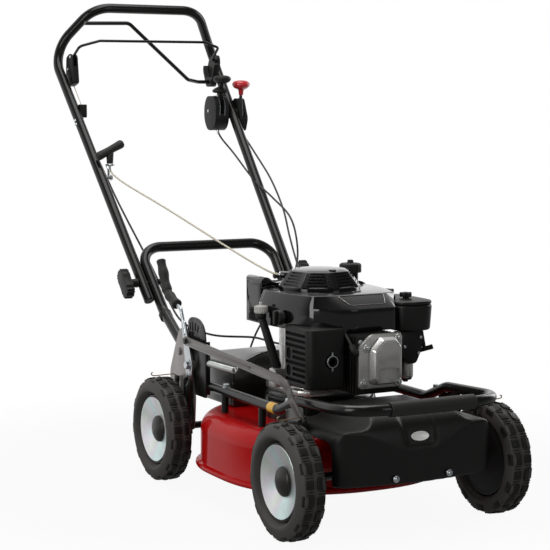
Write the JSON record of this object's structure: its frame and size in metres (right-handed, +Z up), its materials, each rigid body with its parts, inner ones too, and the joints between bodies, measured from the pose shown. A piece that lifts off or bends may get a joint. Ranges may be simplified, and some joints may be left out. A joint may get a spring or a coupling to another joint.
{
  "type": "push lawn mower",
  "caption": "Petrol rotary lawn mower with a pressed round deck, treaded wheels on height-adjusting axles, a tubular bumper frame, an upright engine and a folding tube handle.",
  "frame": {"origin": "on the ground, at the middle of the overall length and width", "axes": "+Z up, -Y to the front of the mower, +Y to the operator, +X to the left-hand side seen from the operator"},
  "size_m": [0.549, 1.4772, 1.1252],
  "materials": {
    "red_paint": "gloss, deep red",
    "black_paint": "satin black powder coat",
    "black_steel": "satin black steel",
    "grey_steel": "dark grey satin paint",
    "black_moulding": "fine grained black moulding",
    "gloss_moulding": "polished black",
    "zinc": "bright zinc plate",
    "cast_alloy": "die cast, slightly rough",
    "tyre_rubber": "matt treaded rubber",
    "black_rubber": "matt",
    "red_plastic": "gloss red",
    "rope_fibre": "braided cord",
    "blade_steel": "dark hardened steel"
  },
  "bodies": {
    "chassis": {"deck": "red_paint", "front_cover": "black_moulding", "rear_cover": "black_moulding", "engine_pedestal": "black_paint", "bumper_frame": "black_steel", "bumper_sleeve": "black_rubber", "rear_bracket_right": "grey_steel", "rear_bracket_left": "grey_steel", "height_quadrant": "black_steel", "lower_handle": "black_paint", "crankcase": "cast_alloy", "cylinder": "black_paint", "valve_cover": "cast_alloy", "fan_housing": "gloss_moulding", "recoil_cover": "gloss_moulding", "fuel_tank": "black_moulding", "oil_filler_tube": "black_moulding", "muffler": "cast_alloy", "muffler_guard": "black_steel", "air_cleaner": "black_moulding", "carburettor": "cast_alloy", "drive_belt": "black_rubber", "starter_rope": "rope_fibre", "brake_cable": "black_rubber", "throttle_cable": "black_rubber", "drive_cable": "black_rubber"},
    "front_axle_arms": {"front_axle": "black_steel"},
    "rear_axle_arms": {"rear_axle": "black_steel"},
    "wheel_front_right": {"tyre_front_right": "tyre_rubber", "rim_front_right": "zinc"},
    "wheel_front_left": {"tyre_front_left": "tyre_rubber", "rim_front_left": "zinc"},
    "wheel_rear_right": {"tyre_rear_right": "tyre_rubber", "rim_rear_right": "zinc"},
    "wheel_rear_left": {"tyre_rear_left": "tyre_rubber", "rim_rear_left": "zinc"},
    "height_control": {"height_lever": "zinc", "height_lever_grip": "black_rubber"},
    "height_link": {"link_bar": "grey_steel"},
    "handle": {"upper_handle": "black_paint", "bail_bracket": "black_moulding", "control_bracket": "black_moulding", "cable_holder": "black_moulding", "throttle_box": "black_moulding", "gear_box": "black_moulding", "rope_guide": "zinc"},
    "fold_knob_right": {"fold_knob_right": "black_moulding"},
    "fold_knob_left": {"fold_knob_left": "black_moulding"},
    "brake_bail": {"brake_bail": "black_steel"},
    "drive_lever": {"drive_lever": "black_steel"},
    "throttle_lever": {"throttle_lever": "red_plastic"},
    "gear_lever": {"gear_lever": "black_moulding"},
    "starter_grip": {"starter_grip": "black_rubber"},
    "fuel_cap": {"fuel_cap": "black_moulding"},
    "oil_cap": {"oil_cap": "grey_steel"},
    "fuel_knob": {"fuel_knob": "black_moulding"},
    "crankshaft": {"crankshaft": "grey_steel", "blade": "blade_steel"},
    "gearbox": {"gearbox": "cast_alloy"},
    "drive_pulley": {"drive_pulley": "grey_steel"}
  },
  "joints": [
    {"name": "height_lever_swing", "type": "hinge", "parent": "chassis", "child": "height_control", "pos_m": [0, -0.03663, 0.27206], "axis": [1, 0, 0], "range_deg": [0, 35], "deforming": ["drive_belt", "drive_cable"]},
    {"name": "front_axle_swing", "type": "hinge", "parent": "chassis", "child": "front_axle_arms", "pos_m": [0, -0.52063, 0.14106], "axis": [1, 0, 0], "range_deg": [0, 20.31]},
    {"name": "rear_axle_swing", "type": "hinge", "parent": "chassis", "child": "rear_axle_arms", "pos_m": [0, -0.02863, 0.14106], "axis": [1, 0, 0], "range_deg": [-20.31, 0], "deforming": ["drive_belt", "drive_cable"]},
    {"name": "link_swing", "type": "hinge", "parent": "height_control", "child": "height_link", "pos_m": [-0.21, -0.03163, 0.32756], "axis": [1, 0, 0], "range_deg": [-33.08, 0]},
    {"name": "gearbox_level", "type": "hinge", "parent": "rear_axle_arms", "child": "gearbox", "pos_m": [0, 0.02937, 0.11906], "axis": [1, 0, 0], "range_deg": [0, 20.31], "deforming": ["drive_belt", "drive_cable"]},
    {"name": "wheel_front_right_spin", "type": "hinge", "parent": "front_axle_arms", "child": "wheel_front_right", "pos_m": [-0.2435, -0.57863, 0.11906], "axis": [1, 0, 0], "continuous": true},
    {"name": "wheel_front_left_spin", "type": "hinge", "parent": "front_axle_arms", "child": "wheel_front_left", "pos_m": [0.2435, -0.57863, 0.11906], "axis": [1, 0, 0], "continuous": true},
    {"name": "wheel_rear_right_spin", "type": "hinge", "parent": "rear_axle_arms", "child": "wheel_rear_right", "pos_m": [-0.2435, 0.02937, 0.11906], "axis": [1, 0, 0], "continuous": true},
    {"name": "wheel_rear_left_spin", "type": "hinge", "parent": "rear_axle_arms", "child": "wheel_rear_left", "pos_m": [0.2435, 0.02937, 0.11906], "axis": [1, 0, 0], "continuous": true},
    {"name": "handle_fold", "type": "hinge", "parent": "chassis", "child": "handle", "pos_m": [0, 0.23372, 0.43434], "axis": [1, 0, 0], "range_deg": [0, 86], "deforming": ["brake_cable", "throttle_cable", "drive_cable", "starter_rope"]},
    {"name": "fold_knob_right_turn", "type": "hinge", "parent": "chassis", "child": "fold_knob_right", "pos_m": [-0.245, 0.23372, 0.43434], "axis": [1, 0, 0], "continuous": true},
    {"name": "fold_knob_left_turn", "type": "hinge", "parent": "chassis", "child": "fold_knob_left", "pos_m": [0.245, 0.23372, 0.43434], "axis": [1, 0, 0], "continuous": true},
    {"name": "brake_bail_swing", "type": "hinge", "parent": "handle", "child": "brake_bail", "pos_m": [0, 0.67437, 0.98306], "axis": [1, 0, 0], "range_deg": [-14, 0], "stiffness_Nm_per_rad": 0.8},
    {"name": "drive_lever_swing", "type": "hinge", "parent": "handle", "child": "drive_lever", "pos_m": [0.19, 0.70537, 0.92406], "axis": [1, 0, 0], "range_deg": [-8, 0], "stiffness_Nm_per_rad": 1.2},
    {"name": "throttle_lever_swing", "type": "hinge", "parent": "handle", "child": "throttle_lever", "pos_m": [0.249, 0.60537, 0.84506], "axis": [1, 0, 0], "range_deg": [-10, 16]},
    {"name": "gear_lever_swing", "type": "hinge", "parent": "handle", "child": "gear_lever", "pos_m": [0.188, 0.61937, 0.84906], "axis": [1, 0, 0], "range_deg": [-12, 12]},
    {"name": "starter_pull", "type": "slide", "parent": "handle", "child": "starter_grip", "axis": [0, 0, 1], "range_m": [0, 0.35], "deforming": ["starter_rope"]},
    {"name": "fuel_cap_turn", "type": "hinge", "parent": "chassis", "child": "fuel_cap", "pos_m": [0.118, -0.20663, 0.49906], "axis": [0, 0, 1], "continuous": true},
    {"name": "oil_cap_turn", "type": "hinge", "parent": "chassis", "child": "oil_cap", "pos_m": [-0.155, -0.29563, 0.42406], "axis": [0, 0, 1], "continuous": true},
    {"name": "fuel_knob_turn", "type": "hinge", "parent": "chassis", "child": "fuel_knob", "pos_m": [-0.145, -0.35263, 0.41306], "axis": [1, 0, 0], "range_deg": [0, 90]},
    {"name": "crankshaft_spin", "type": "hinge", "parent": "chassis", "child": "crankshaft", "pos_m": [0, -0.27363, 0.20706], "axis": [0, 0, 1], "continuous": true},
    {"name": "drive_pulley_spin", "type": "hinge", "parent": "gearbox", "child": "drive_pulley", "pos_m": [0, 0.05137, 0.20706], "axis": [0, 0, 1], "continuous": true}
  ],
  "couplings": [
    {"joint": "front_axle_swing", "follows": "height_lever_swing", "ratio": 0.58},
    {"joint": "rear_axle_swing", "follows": "height_lever_swing", "ratio": -0.58},
    {"joint": "link_swing", "follows": "height_lever_swing", "ratio": -0.945},
    {"joint": "gearbox_level", "follows": "height_lever_swing", "ratio": 0.58},
    {"joint": "drive_pulley_spin", "follows": "crankshaft_spin", "ratio": 0.871}
  ]
}
